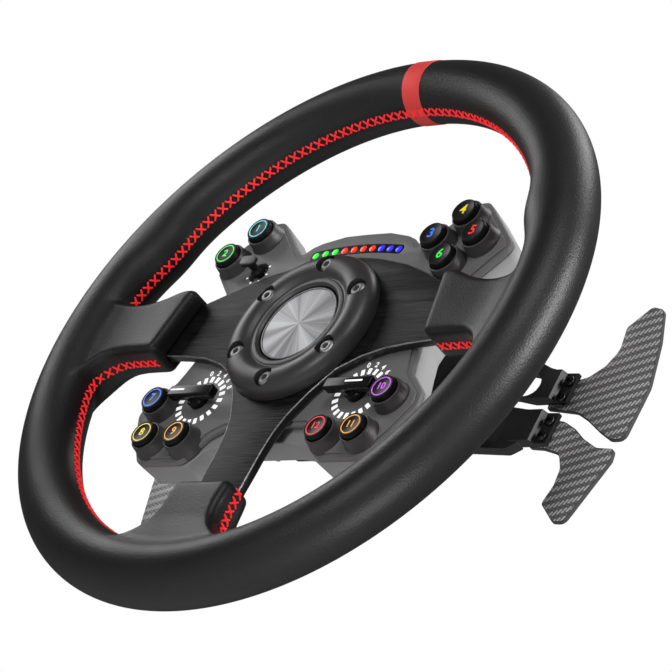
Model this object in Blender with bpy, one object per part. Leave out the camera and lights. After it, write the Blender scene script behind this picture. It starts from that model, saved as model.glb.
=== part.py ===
"""Racing wheel for a driving simulator: rim, hub, control panel, paddles and quick release.

Lengths below are in millimetres, measured from the centre of the rim, with the driver on -Y and
12 o'clock on +Z. place() turns them into metres and moves the origin to the centre of the rear
face of the quick release, where the wheel meets the wheelbase.
"""
import math

import bmesh
import bpy
from mathutils import Matrix, Vector

# ---------------------------------------------------------------- driving dimensions
GAP = 0.3                # clearance between neighbouring pieces
REAR = 98.0              # rim centre plane to the rear face of the quick release
RIM_R = 149.2            # rim centreline radius: 330 mm outside diameter
TUBE_R = 15.8            # radius of the grip's section
HOOP_R = 6.0             # radius of the steel hoop inside the grip
BAND = (-1.1, 3.7)       # clock angles of the top marker band, degrees
BULGE = 4.0              # depth of the thumb rests
BULGE_AT = 67            # their clock angle, at ten and two o'clock
PLATE_Y = (4.0, 8.5)     # front and back of the spoke plate
PCD_R = 35.0             # standard 70 mm bolt circle
BOLT_HOLE = 2.8          # clearance radius for an M5 screw
COVER_R = 43.6
BADGE_R = 22.6
PANEL_Y = (8.8, 12.8)
HOUSING_Y = (13.1, 28.5)
WALL = 2.4
TAPER = 1.0              # how much the housing narrows from its front to its back
BOARD_Y = (19.4, 21.0)
CAP_R = 6.85             # push button
COLLAR = (8.3, 9.3)      # radius of a button's collar at its lip and at the panel
DIAL_X, DIAL_Z = 53.2, -37.2
MENU = (-63.6, 45.0)     # x and z of the menu lever
MENU_HOLE = 5.8          # radius of its hole in the panel, wide enough for its full tilt
PIN_X, PIN_Y = 56.0, 68.0    # paddle hinge
BLADE_Y = (77.5, 79.7)

BUTTONS = {              # x and z of each push button
    1: (-69.9, 66.6), 2: (-84.0, 51.4),
    3: (56.1, 52.6), 4: (69.6, 66.0), 5: (82.9, 52.2), 6: (69.4, 38.7),
    7: (-77.3, -41.2), 8: (-70.4, -62.9), 9: (-47.9, -63.0),
    10: (77.3, -41.2), 11: (70.4, -62.9), 12: (47.9, -63.0),
}

# Half outlines for x > 0, top to bottom: x, z and corner radius.
PLATE_HALF = [
    (0, 45.5, 0), (14, 44.8, 0), (28, 42.5, 0), (45.8, 38, 0), (58.4, 33, 0), (72, 26.8, 0),
    (84, 21.4, 0), (96, 15, 4), (142.6, 13, 0), (142.6, -8, 0), (104, -9, 4), (89.7, -11.1, 0),
    (74.7, -12.3, 0), (60.3, -14.4, 0), (47.7, -18.6, 0), (35.3, -25.7, 0), (25.4, -40, 0),
    (19.2, -52.2, 0), (16.4, -62.5, 0), (15.3, -74.2, 0), (15.2, -84.2, 0), (14.6, -100, 3),
    (11, -107, 3), (10, -142.6, 0),
]
TOP_ARCH = [(0, 65.5, 0), (15, 65.2, 8), (29, 62.0, 6), (34.5, 59.6, 2), (40, 54.8, 3)]
RIGHT_TOP_POD = [
    (44, 57.6, 3), (66.6, 79.4, 7), (72.5, 79.0, 5), (102.4, 50.2, 6), (86.5, 29.9, 4), (79, 25.5, 3),
]
LEFT_TOP_POD = [
    (44, 57.6, 3), (66.0, 79.0, 7), (73.0, 78.4, 7), (96.4, 54.0, 8), (94.5, 46.6, 5),
    (80.0, 32.6, 4), (78, 25.5, 3),
]
BOTTOM_POD = [
    (73.8, -6, 3), (77.3, -18.3, 0), (79.4, -24.4, 4), (92.6, -36.5, 6), (94.0, -44.5, 6), (85.6, -61, 6),
    (75.6, -74.2, 6), (45, -74.2, 8), (34.6, -58.6, 6), (27, -54.2, 3),
]
SHIFT_BLADE = [
    (97.5, 6.5, 2), (97.5, 22.6, 1), (105.7, 22.9, 2), (114.2, 25.1, 6), (121.6, 31.5, 8),
    (125.4, 41, 8), (123.0, 54.6, 3), (133.0, 66.8, 3), (141.0, 64.6, 5), (148.4, 44.8, 14),
    (155.0, 17.5, 14), (154.4, -13.4, 5), (146.4, -13.4, 5), (137.4, -8.3, 8), (126.2, -0.8, 8),
    (117.9, 3.6, 8), (103.7, 5.7, 4),
]
CLUTCH_BLADE = [
    (97.5, 0.3, 1), (103.5, 0.1, 2), (112.7, -1.3, 8), (121.4, -5.7, 8), (129.9, -12.1, 8),
    (140.2, -17.6, 6), (151.6, -18.6, 3), (152.9, -25.2, 3), (142.2, -60.6, 4), (135.4, -60.4, 4),
    (123.2, -49.6, 3), (125.4, -39.2, 6), (124.4, -29.6, 8), (119.2, -20.6, 8), (108.0, -17.4, 6),
    (97.5, -16.4, 3),
]


# ---------------------------------------------------------------- scene and materials
def clear_scene():
    for obj in list(bpy.data.objects):
        bpy.data.objects.remove(obj)


def material(name, colour, metallic=0.0, roughness=0.5):
    made = bpy.data.materials.new(name)
    made.use_nodes = True
    shader = made.node_tree.nodes["Principled BSDF"]
    shader.inputs["Base Color"].default_value = (*colour, 1)
    shader.inputs["Metallic"].default_value = metallic
    shader.inputs["Roughness"].default_value = roughness
    return made


def place(name, body, surface, pivot=(0, 0, 0)):
    """Makes one named piece. Its origin is the pivot, which is a point on its joint's axis."""
    pivot = Vector(pivot)
    bmesh.ops.remove_doubles(body, verts=body.verts, dist=0.0005)
    bmesh.ops.dissolve_degenerate(body, edges=body.edges, dist=0.0005)
    bmesh.ops.dissolve_limit(body, angle_limit=math.radians(0.3), verts=body.verts, edges=body.edges)
    bmesh.ops.recalc_face_normals(body, faces=body.faces)
    for vert in body.verts:
        vert.co = (vert.co - pivot) * 0.001
    data = bpy.data.meshes.new(name)
    body.to_mesh(data)
    body.free()
    data.shade_smooth()
    data.set_sharp_from_angle(angle=math.radians(32))
    obj = bpy.data.objects.new(name, data)
    obj.location = (pivot - Vector((0, REAR, 0))) * 0.001
    data.materials.append(material(name, *surface))
    bpy.context.scene.collection.objects.link(obj)
    return obj


# ---------------------------------------------------------------- shapes
def boolean(base, other, operation="DIFFERENCE"):
    """The base body cut by, or joined with, the other. Both are used up."""
    pair = []
    for body in (base, other):
        bmesh.ops.recalc_face_normals(body, faces=body.faces)
        data = bpy.data.meshes.new("working")
        body.to_mesh(data)
        body.free()
        obj = bpy.data.objects.new("working", data)
        bpy.context.scene.collection.objects.link(obj)
        pair.append(obj)
    modifier = pair[0].modifiers.new("working", "BOOLEAN")
    modifier.operation, modifier.solver, modifier.object = operation, "EXACT", pair[1]
    graph = bpy.context.evaluated_depsgraph_get()
    result = bmesh.new()
    result.from_mesh(pair[0].evaluated_get(graph).data)
    for obj in pair:
        data = obj.data
        bpy.data.objects.remove(obj)
        bpy.data.meshes.remove(data)
    return result


def together(bodies):
    """Bodies that don't touch each other, as one mesh."""
    whole = bmesh.new()
    for body in bodies:
        data = bpy.data.meshes.new("working")
        body.to_mesh(data)
        body.free()
        whole.from_mesh(data)
        bpy.data.meshes.remove(data)
    return whole


def cut(base, *tools):
    for tool in tools:
        base = boolean(base, tool)
    return base


def join(base, *others):
    for other in others:
        base = boolean(base, other, "UNION")
    return base


def skin(rings, closed=False):
    """A body through rings of points. Open ends are capped; a closed one runs round to its start."""
    body = bmesh.new()
    loops = [[body.verts.new(point) for point in ring] for ring in rings]
    pairs = list(zip(loops, loops[1:]))
    if closed:
        pairs.append((loops[-1], loops[0]))
    for one, two in pairs:
        count = len(one)
        for i in range(count):
            j = (i + 1) % count
            body.faces.new((one[i], one[j], two[j], two[i]))
    if not closed:
        body.faces.new(loops[0])
        body.faces.new(loops[-1][::-1])
    bmesh.ops.recalc_face_normals(body, faces=body.faces)
    return body


def lathe(profile, at=(0, 0), count=32):
    """Turns (radius, y) points about a line along Y through x, z = at."""
    body = bmesh.new()
    rings = []
    for radius, y in profile:
        if radius == 0:
            rings.append([body.verts.new((at[0], y, at[1]))])
            continue
        turns = [2 * math.pi * (i + 0.5) / count for i in range(count)]
        rings.append([
            body.verts.new((at[0] + radius * math.cos(t), y, at[1] + radius * math.sin(t)))
            for t in turns
        ])
    for one, two in zip(rings, rings[1:] + rings[:1]):
        for i in range(count):
            j = (i + 1) % count
            if len(one) == 1 and len(two) == 1:
                break
            if len(one) == 1:
                body.faces.new((one[0], two[i], two[j]))
            elif len(two) == 1:
                body.faces.new((one[i], two[0], one[j]))
            else:
                body.faces.new((one[i], two[i], two[j], one[j]))
    bmesh.ops.recalc_face_normals(body, faces=body.faces)
    return body


def rod(radius, y0, y1, at=(0, 0), count=24):
    return lathe([(0, y0), (radius, y0), (radius, y1), (0, y1)], at, count)


def standing_rod(radius, x, y, z0, z1, count=12):
    """A rod along Z."""
    turns = [2 * math.pi * i / count for i in range(count)]
    return skin([
        [(x + radius * math.cos(t), y + radius * math.sin(t), z) for t in turns] for z in (z0, z1)
    ])


def rounded(points, steps=4):
    """Turns x, z, corner radius triples into an outline."""
    outline = []
    for i, (x, z, radius) in enumerate(points):
        here = Vector((x, z))
        before = (Vector(points[i - 1][:2]) - here)
        after = (Vector(points[(i + 1) % len(points)][:2]) - here)
        if radius == 0:
            outline.append((x, z))
            continue
        half = before.angle(after) / 2
        reach = min(radius / math.tan(half), before.length * 0.49, after.length * 0.49)
        radius = reach * math.tan(half)
        if math.pi / 2 - half < 0.06:
            outline.append((x, z))
            continue
        a, b = before.normalized(), after.normalized()
        centre = here + (a + b).normalized() * (radius / math.sin(half))
        start, end = here + a * reach - centre, here + b * reach - centre
        sweep = start.angle_signed(end)
        count = max(1, min(steps, round(abs(sweep) / 0.35)))
        for k in range(count + 1):
            turned = start.copy()
            turned.rotate(Matrix.Rotation(-sweep * k / count, 2))
            outline.append(tuple(centre + turned))
    return outline


def mirrored(points):
    return [(-p[0], *p[1:]) for p in reversed(points)]


def inset(corners, depth):
    """Corners (x, z and a radius) moved inwards by a depth, or outwards if it is negative."""
    flat = [Vector(corner[:2]) for corner in corners]
    area = sum(a.x * b.y - b.x * a.y for a, b in zip(flat, flat[1:] + flat[:1]))
    side = 1 if area > 0 else -1
    moved = []
    for i, here in enumerate(flat):
        a = (here - flat[i - 1]).normalized()
        b = (flat[(i + 1) % len(flat)] - here).normalized()
        na, nb = Vector((-a.y, a.x)) * side, Vector((-b.y, b.x)) * side
        both = (na + nb).normalized()
        spot = here + both * depth / max(0.5, both.dot(na))
        radius = corners[i][2] if len(corners[i]) > 2 else 0
        if radius:
            convex = (a.x * b.y - a.y * b.x) * side > 0
            radius = max(0.4, radius - depth) if convex else radius + depth
        moved.append((spot.x, spot.y, radius))
    return moved


def slab(outline, y0, y1, back=None):
    """An outline in x, z made solid from y0 to y1. The back outline can differ."""
    back = back or outline
    return skin([[(x, y0, z) for x, z in outline], [(x, y1, z) for x, z in back]])


def brick(x, y, z):
    return slab([(x[0], z[0]), (x[1], z[0]), (x[1], z[1]), (x[0], z[1])], *y)


def flipped(body):
    """The same body on the other side of x = 0."""
    for vert in body.verts:
        vert.co.x = -vert.co.x
    bmesh.ops.reverse_faces(body, faces=body.faces)
    return body


def on_side(body, side):
    return body if side > 0 else flipped(body)


def screw(head_r, head_y, shank_r, end_y, at, socket_r, count=12):
    """A button-head screw along Y whose head starts at head_y[0] and ends at head_y[1]."""
    top, under = head_y
    dome = [(head_r * 0.7, top), (head_r, top + (under - top) * 0.5), (head_r, under)]
    profile = [(0, top + 1.3), (socket_r, top + 1.3), (socket_r, top), *dome,
               (shank_r, under), (shank_r, end_y), (0, end_y)]
    return lathe(profile, at, count)


# ---------------------------------------------------------------- rim
def rim_point(clock, out, y):
    """A point at a clock angle in degrees, this far from the wheel's axis."""
    turn = math.radians(clock)
    return (out * math.sin(turn), y, out * math.cos(turn))


def grip_section(clock, count=16):
    """The grip's round section, thicker on its inner side at the thumb rests."""
    ring = []
    away = abs(min(clock % 360, 360 - clock % 360) - BULGE_AT)
    bulge = BULGE * math.exp(-((away / 7.0) ** 2))
    for i in range(count):
        turn = 2 * math.pi * i / count
        out = RIM_R + TUBE_R * math.cos(turn) - bulge * max(0.0, -math.cos(turn)) ** 2
        ring.append(rim_point(clock, out, TUBE_R * math.sin(turn)))
    return ring


def hoop(radius, count=8, steps=40):
    return skin([
        [rim_point(360 * k / steps, RIM_R + radius * math.cos(2 * math.pi * i / count),
                   radius * math.sin(2 * math.pi * i / count)) for i in range(count)]
        for k in range(steps)
    ], closed=True)


def sleeve_section(place_at, low, high, front, back, corner):
    """A rounded rectangle. low and high are across the spoke; place_at(across) is along it."""
    outline = rounded([(low, front, corner), (high, front, corner), (high, back, corner),
                       (low, back, corner)], steps=3)
    return [(place_at(across), y, across) for across, y in outline]


def side_sleeve():
    """The leather sleeve over the right-hand spoke, flaring into the rim."""
    stations = [
        (83.2, 0.21, -11.5, 22.0, 0.8, 11.2, 3), (84.6, 0.2, -13.0, 23.8, -2.6, 12.8, 3.6),
        (87.2, 0.2, -14.2, 24.6, -5.2, 14.0, 4.5), (90.0, 0.17, -14.6, 24.4, -6.0, 14.4, 5),
        (103.0, 0.1, -14.7, 19.8, -6.2, 14.5, 5.5), (112.0, 0.05, -14.8, 17.4, -6.4, 14.6, 5.5),
        (120.0, 0.0, -16.4, 16.6, -6.8, 14.8, 6), (126.0, 0.0, -20.5, 16.6, -7.6, 15.0, 7),
        (131.0, 0.0, -28.0, 16.8, -8.8, 14.8, 8), (136.0, 0.0, -37.0, 17.2, -10.0, 14.0, 8),
        (141.0, 0.0, -44.0, 17.6, -10.4, 12.0, 8), (145.5, 0.0, -43.0, 17.0, -8.0, 9.0, 7),
    ]
    rings = []
    for along, slope, low, high, front, back, corner in stations:
        rings.append(sleeve_section(lambda z, a=along, s=slope: a + s * (23.6 - z),
                                    low, high, front, back, corner))
    return skin(rings)


def bottom_sleeve():
    """The leather sleeve over the bottom spoke."""
    stations = [
        (-97.0, 16.4, 0.4, 9.6, 2.4), (-98.0, 17.4, -3.0, 10.6, 3.5), (-100.0, 18.0, -6.0, 11.2, 4.5),
        (-104.0, 18.2, -7.2, 11.6, 5), (-114.0, 18.8, -7.8, 12.2, 5.5), (-121.0, 21.0, -8.2, 13.0, 6),
        (-127.0, 26.0, -9.0, 14.0, 7), (-132.0, 33.5, -9.8, 14.4, 8), (-137.0, 41.5, -10.4, 13.6, 8),
        (-141.5, 46.5, -10.2, 11.6, 8), (-145.5, 45.0, -8.0, 9.0, 7),
    ]
    rings = []
    for along, half, front, back, corner in stations:
        flat = sleeve_section(lambda across, a=along: a, -half, half, front, back, corner)
        rings.append([(across, y, z) for z, y, across in flat])
    return skin(rings)


def plate_outline(margin=0.0):
    return rounded(inset(PLATE_HALF + mirrored(PLATE_HALF[1:]), -margin), steps=3)


def spoke_ends(margin):
    """The parts of the plate that lie inside the sleeves, as cutting bodies."""
    y = (PLATE_Y[0] - margin, PLATE_Y[1] + margin)
    side = [(76, 25.0), (84, 21.4), (96, 15.2), (143.2, 13), (143.2, -8), (104, -9), (89.7, -11.1),
            (76, -12.2)]
    side = rounded(inset(side, -margin))
    low = rounded(inset([(-15.2, -86), (15.2, -86), (14.6, -100), (11, -107), (10, -143.2),
                         (-10, -143.2), (-11, -107), (-14.6, -100)], -margin))
    return slab(side, *y), flipped(slab(side, *y)), slab(low, *y)


def build_rim():
    start, end, steps = BAND[1] + 0.12, 360 + BAND[0] - 0.12, 54
    cover = skin([grip_section(start + (end - start) * k / steps) for k in range(steps + 1)])
    cover = join(cover, side_sleeve(), flipped(side_sleeve()), bottom_sleeve())
    cover = cut(cover, hoop(HOOP_R + GAP), *spoke_ends(GAP))
    place("grip_cover", cover, LEATHER)
    place("rim_hoop", hoop(HOOP_R), STEEL)
    band = skin([grip_section(BAND[0] + (BAND[1] - BAND[0]) * k / 2) for k in range(3)])
    place("top_band", cut(band, hoop(HOOP_R + GAP)), RED_LEATHER)


# ---------------------------------------------------------------- centre
def bolt_places():
    return [(PCD_R * math.sin(math.radians(60 * k)), PCD_R * math.cos(math.radians(60 * k)))
            for k in range(6)]


def bolt_bores(y0, y1, radius=BOLT_HOLE, count=10):
    return [rod(radius, y0, y1, at, count) for at in bolt_places()]


def build_centre():
    plate = slab(plate_outline(), *PLATE_Y)
    plate = cut(plate, together([rod(20, 2, 11, count=28), *bolt_bores(2, 11)]))
    place("frame_plate", plate, DARK_ALUMINIUM)

    back = PLATE_Y[0] - GAP
    cover = lathe([
        (12, back), (COVER_R, back), (COVER_R - 0.2, 1.6), (42.0, -1.6), (39.6, -4.0),
        (34.6, -5.5), (30.4, -4.7), (28.2, -3.0), (27.2, -2.3), (24.2, -2.4),
        (BADGE_R + GAP, -1.4), (BADGE_R + GAP, 1.1), (12, 1.1),
    ], count=40)
    cover = cut(cover, together(bolt_bores(-8, 0.1, 5.0, 14)), together(bolt_bores(-2, 6)))
    place("centre_cover", cover, BLACK_SATIN)
    badge = lathe([(0, -1.3), (21.6, -1.3), (BADGE_R, -0.7), (BADGE_R, 0.8), (0, 0.8)], count=36)
    place("centre_badge", badge, SPUN_METAL)
    for number, at in enumerate(bolt_places(), 1):
        bolt = screw(4.5, (-2.9, -0.2), 2.5, 33.0, at, 1.7)
        place(f"cover_bolt_{number}", bolt, PALE_STEEL)


# ---------------------------------------------------------------- control panel
def panel_outline(depth=0.0):
    right = TOP_ARCH + RIGHT_TOP_POD + BOTTOM_POD
    left = TOP_ARCH + LEFT_TOP_POD + BOTTOM_POD
    return rounded(inset(right + mirrored(left[1:]), depth))


def housing_outline(depth=0.0):
    """As the panel, with a deeper bridge between the lower pods."""
    low = BOTTOM_POD[:-3] + [(44, -74.2, 5), (36, -64.5, 5), (16, -61.8, 8)]
    right = TOP_ARCH + RIGHT_TOP_POD + low
    left = TOP_ARCH + LEFT_TOP_POD + low
    return rounded(inset(right + mirrored(left[1:]), depth), 2)


def strip(inner, outer, half_angle, centre_z, steps=10):
    """A curved strip about a centre on x = 0, as an outline."""
    angles = [math.radians(-half_angle + 2 * half_angle * k / steps) for k in range(steps + 1)]
    top = [(outer * math.sin(a), centre_z + outer * math.cos(a)) for a in angles]
    low = [(inner * math.sin(a), centre_z + inner * math.cos(a)) for a in reversed(angles)]
    return top + low


def build_panel():
    front, back = PANEL_Y
    lip = 1.0
    panel = skin([[(x, y, z) for x, z in panel_outline(depth)]
                  for y, depth in ((front, lip), (front + lip, 0), (back, 0))])
    collars = [
        lathe([(0, 2.5), (COLLAR[0] - 0.4, 2.5), (COLLAR[0], 2.9), (COLLAR[1], front),
               (COLLAR[1], front + 2), (0, front + 2)], at, 16) for at in BUTTONS.values()
    ]
    wells = [rod(CAP_R + GAP, 0, 15, at, 16) for at in BUTTONS.values()]
    holes = [rod(24, 6, 16, count=28), *bolt_bores(6, 16), rod(MENU_HOLE, 6, 16, MENU, 18),
             rod(3.6, 6, 16, (DIAL_X, DIAL_Z), 14), rod(3.6, 6, 16, (-DIAL_X, DIAL_Z), 14),
             slab(strip(*LED_POCKET), 6, 10.8)]
    panel = cut(join(panel, together(collars)), together(wells + holes))
    place("front_panel", panel, GREY_PLASTIC)
    place("led_window", slab(strip(*LED_STRIP), front, 10.5), GLOSS_BLACK)

    shell = slab(housing_outline(), *HOUSING_Y, housing_outline(TAPER))
    room = slab(housing_outline(WALL), HOUSING_Y[0] - 2, HOUSING_Y[1] - WALL,
                housing_outline(WALL + TAPER))
    bridge = rounded([(-37, -49.6, 0), (37, -49.6, 0), (37, -63.4, 0), (16, -60.6, 0),
                      (-16, -60.6, 0), (-37, -63.4, 0)])
    shell = join(cut(shell, room), rod(41, HOUSING_Y[0], HOUSING_Y[1] - 1, count=24),
                 slab(bridge, HOUSING_Y[0] + 0.01, 15.6))
    shell = cut(shell, together([rod(24, 10, 32, count=28), *bolt_bores(10, 32)]))
    place("rear_housing", shell, PALE_PLASTIC)

    board = slab(housing_outline(WALL + TAPER), *BOARD_Y)
    place("main_board", cut(board, rod(41.8, 16, 24, count=24)), CIRCUIT_GREEN)


LED_STRIP = (177.4, 182.2, 9.7, -124.8)
LED_POCKET = (177.1, 182.5, 9.8, -124.8)


def softened_bar(at, half_x, half_z, corner, y0, y1):
    """An oblong block whose front edge is bevelled."""
    x, z = at
    shape = [(x - half_x, z - half_z, corner), (x + half_x, z - half_z, corner),
             (x + half_x, z + half_z, corner), (x - half_x, z + half_z, corner)]
    return skin([[(px, y, pz) for px, pz in rounded(inset(shape, depth), 2)]
                 for y, depth in ((y0, 0.5), (y0 + 0.5, 0), (y1, 0))])


def build_controls():
    for number, at in BUTTONS.items():
        cap = lathe([(0, -0.4), (6.1, -0.4), (CAP_R, 0.4), (CAP_R, 14.6), (2.5, 14.6), (2.5, 17.6),
                     (0, 17.6)], at, 16)
        place(f"button_{number}", cap, GLOSS_BLACK, (at[0], 0, at[1]))

    for side, name in ((-1, "left"), (1, "right")):
        at = (DIAL_X * side, DIAL_Z)
        knob = softened_bar(at, 15, 3.2, 1.3, -0.2, 4.6)
        hub = lathe([(0, 3.5), (4.6, 3.5), (5.6, 5.2), (5.6, 8.5), (3.2, 8.5), (3.2, 16.0), (0, 16.0)],
                    at, 18)
        place(f"dial_knob_{name}", join(knob, hub), GLOSS_BLACK, (at[0], 0, at[1]))
        case = brick((at[0] - 7, at[0] + 7), (13.2, 19.1), (at[1] - 7, at[1] + 7))
        place(f"dial_switch_{name}", cut(case, rod(3.6, 12, 16.4, at, 14)), BLACK_SATIN)

    x, z = MENU
    pivot = (x, 15.5, z)
    case = brick((x - 7.5, x + 7.5), (13.2, 19.1), (z - 7.5, z + 7.5))
    case = cut(case, brick((x - 6, x + 6), (12, 18.1), (z - 6, z + 6)))
    place("menu_switch", case, BLACK_SATIN)
    ring = cut(brick((x - 4.8, x + 4.8), (14.3, 16.7), (z - 4.8, z + 4.8)),
               rod(3.2, 13, 18, MENU, 14))
    place("menu_gimbal", ring, STEEL, pivot)
    stick = lathe([(0, 1.2), (2.1, 1.2), (1.9, 6.0), (3.6, 7.2), (3.9, 8.4), (3.9, 9.2), (1.8, 10.0),
                   (1.8, 17.0), (0, 17.0)], MENU, 14)
    stick = join(stick, softened_bar(MENU, 4.6, 2.8, 1.4, -1.2, 1.6))
    place("menu_lever", stick, BLACK_SATIN, pivot)


# ---------------------------------------------------------------- paddles
SCREWS = {"shift": [(107.4, 20.2), (106.9, 10.4)], "clutch": [(107.2, -3.6), (106.9, -12.6)]}


def knuckled_arm(kind):
    """A paddle arm: hinge tube, bent sheet and a stepped end that carries the blade."""
    low, high = (7.1, 33.0) if kind == "shift" else (-21.0, 3.9)
    a, b = (6.2, 25.4) if kind == "shift" else (-16.6, 1.6)
    profile = [(PIN_X + 2, 64.5), (PIN_X + 9, 66.0), (84, 70.6), (92, 71.4), (102.2, 71.4), (103.4, 74.6),
               (110.2, 74.9), (110.2, 77.2), (91, 77.2), (83, 74.2), (PIN_X + 9, 70.6), (PIN_X + 2, 70.6)]
    flare = high - 2.5 if kind == "shift" else high - 1
    drop = low + 1.5
    sheet = skin([[(x, y, drop) for x, y in profile], [(x, y, flare) for x, y in profile]])
    if kind == "shift":
        waist = [(50, drop - 1), (72, drop - 1), (80, 5.2), (92, 5.2), (98, a), (112, a), (112, b), (99, b),
                 (95, 26.5), (89, 29.2), (82, 29.2), (74, flare), (50, flare)]
    else:
        waist = [(50, drop), (80, drop), (92, a), (112, a), (112, b), (94, b), (82, flare), (50, flare)]
    arm = boolean(sheet, slab(waist, 60, 82), "INTERSECT")
    arm = join(arm, standing_rod(5.2, PIN_X, PIN_Y, low, high))
    arm = cut(arm, standing_rod(2.5 + GAP, PIN_X, PIN_Y, low - 2, high + 2))
    if kind == "shift":
        arm = cut(arm, rod(7.2, 60, 82, (85.6, 16.6), 20))
    return cut(arm, together([rod(1.8, 70, 82, at, 10) for at in SCREWS[kind]]))


def build_paddles():
    for side, name in ((-1, "left"), (1, "right")):
        hinge = (PIN_X * side, PIN_Y, 6)
        for kind, outline in (("shift", SHIFT_BLADE), ("clutch", CLUTCH_BLADE)):
            place(f"{kind}_arm_{name}", on_side(knuckled_arm(kind), side), BLACK_SATIN, hinge)
            shape = rounded(outline, 3)
            blade = slab(shape, *BLADE_Y)
            blade = cut(blade, together([rod(1.8, 75, 82, at, 10) for at in SCREWS[kind]]))
            place(f"{kind}_blade_{name}", on_side(blade, side), CARBON, hinge)
            for number, at in enumerate(SCREWS[kind], 1):
                bolt = screw(2.8, (72.8, 74.3), 1.5, 79.5, at, 1.0, 10)
                place(f"{kind}_screw_{name}_{number}", on_side(bolt, side), DARK_STEEL, hinge)
        pin = join(standing_rod(2.5, PIN_X, PIN_Y, -26.4, 36.6), standing_rod(4.0, PIN_X, PIN_Y, 36.3, 38.2))
        place(f"paddle_pin_{name}", on_side(pin, side), STEEL)

    arch = rounded([(-50, -24, 4), (50, -24, 4), (50, 36, 4), (-50, 36, 4)])
    bracket = slab(arch, 62, 73.8)
    for side in (-1, 1):
        for low, high in ((-24, -21.3), (4.2, 6.8), (33.3, 36)):
            ear = join(brick((44, PIN_X), (63.5, 72.5), (low, high)),
                       standing_rod(4.5, PIN_X, PIN_Y, low, high))
            bracket = join(bracket, on_side(ear, side))
        finger = slab(rounded([(40, -24.8, 0), (72, -24.4, 0), (97, -26.0, 4), (102.5, -22.6, 1.4),
                               (102.5, -21.6, 0.6), (40, -21.6, 0)]), 66, 71.5)
        bracket = join(bracket, on_side(finger, side))
        bracket = cut(bracket, on_side(standing_rod(2.5 + GAP, PIN_X, PIN_Y, -30, 40), side))
    bracket = cut(bracket, rod(26.3, 58, 78, count=30))
    place("paddle_bracket", bracket, BLACK_SATIN)


# ---------------------------------------------------------------- quick release
def build_quick_release():
    hub = lathe([
        (15, 60), (15, REAR - 1.2), (16.2, REAR), (29.2, REAR), (30, REAR - 0.8), (30, 93.3), (26, 93.3),
        (26, 34.2), (42, 34.2), (42, 29.3), (0, 29.3), (0, 60),
    ], count=30)
    place("qr_hub", cut(hub, together(bolt_bores(27, 38))), ANODISED_BLACK)
    ring = lathe([
        (26.3, 80), (31.8, 80), (31.8, 84), (30.6, 85), (30.6, 88), (31.8, 89), (31.8, 93), (26.3, 93),
    ], count=30)
    place("qr_collar", ring, SATIN_ALUMINIUM, (0, 86, 0))


LEATHER = ((0.020, 0.020, 0.022), 0.0, 0.45)
RED_LEATHER = ((0.72, 0.045, 0.04), 0.0, 0.45)
STEEL = ((0.45, 0.45, 0.46), 1.0, 0.35)
PALE_STEEL = ((0.62, 0.62, 0.62), 1.0, 0.35)
DARK_STEEL = ((0.03, 0.03, 0.032), 1.0, 0.35)
DARK_ALUMINIUM = ((0.10, 0.10, 0.105), 1.0, 0.38)
SATIN_ALUMINIUM = ((0.55, 0.56, 0.58), 1.0, 0.3)
ANODISED_BLACK = ((0.02, 0.02, 0.022), 1.0, 0.4)
SPUN_METAL = ((0.66, 0.66, 0.66), 1.0, 0.25)
BLACK_SATIN = ((0.014, 0.014, 0.015), 0.0, 0.35)
GLOSS_BLACK = ((0.008, 0.008, 0.008), 0.0, 0.15)
GREY_PLASTIC = ((0.12, 0.12, 0.125), 0.0, 0.5)
PALE_PLASTIC = ((0.22, 0.22, 0.225), 0.0, 0.5)
CIRCUIT_GREEN = ((0.01, 0.12, 0.05), 0.0, 0.5)
CARBON = ((0.06, 0.06, 0.065), 0.0, 0.25)

clear_scene()
build_rim()
build_centre()
build_panel()
build_controls()
build_paddles()
build_quick_release()
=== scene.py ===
"""Looks of a simulator racing wheel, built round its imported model.

Shapes are written in millimetres from the centre of the rim: x to the driver's right, y away from the
driver and z towards 12 o'clock. in_frame() turns them into the frame's metres. Places and main sizes
come from the boxes of the model's nodes.
"""
import math

import bmesh
import bpy
import numpy as np
from mathutils import Matrix, Vector


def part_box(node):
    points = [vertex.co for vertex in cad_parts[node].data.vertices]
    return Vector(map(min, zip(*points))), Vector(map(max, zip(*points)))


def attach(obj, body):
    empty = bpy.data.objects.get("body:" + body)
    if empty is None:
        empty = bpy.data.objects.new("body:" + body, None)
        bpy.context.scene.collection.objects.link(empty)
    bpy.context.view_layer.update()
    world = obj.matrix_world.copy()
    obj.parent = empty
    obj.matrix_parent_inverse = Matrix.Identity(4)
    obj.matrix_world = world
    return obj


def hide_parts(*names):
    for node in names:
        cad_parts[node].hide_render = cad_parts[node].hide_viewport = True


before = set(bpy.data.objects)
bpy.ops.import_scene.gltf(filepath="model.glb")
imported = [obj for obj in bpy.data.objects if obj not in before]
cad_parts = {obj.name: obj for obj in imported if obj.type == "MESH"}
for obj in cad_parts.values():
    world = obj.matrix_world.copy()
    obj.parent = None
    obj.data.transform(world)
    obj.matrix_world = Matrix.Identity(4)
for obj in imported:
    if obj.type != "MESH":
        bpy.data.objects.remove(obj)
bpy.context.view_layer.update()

# ---------------------------------------------------------------- sizes from the frame
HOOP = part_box("rim_hoop")
HUB_Y = (HOOP[0].y + HOOP[1].y) / 2


def box_mm(node):
    """A node's lowest and highest corners, in millimetres from the centre of the rim."""
    low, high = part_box(node)
    return [Vector((c.x, c.y - HUB_Y, c.z)) * 1000 for c in (low, high)]


def middle_of(node):
    """The x and z of a node's middle."""
    low, high = box_mm(node)
    return ((low.x + high.x) / 2, (low.z + high.z) / 2)


def in_frame(points):
    return (np.asarray(points, float) + (0, HUB_Y * 1000, 0)) * 0.001


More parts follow.
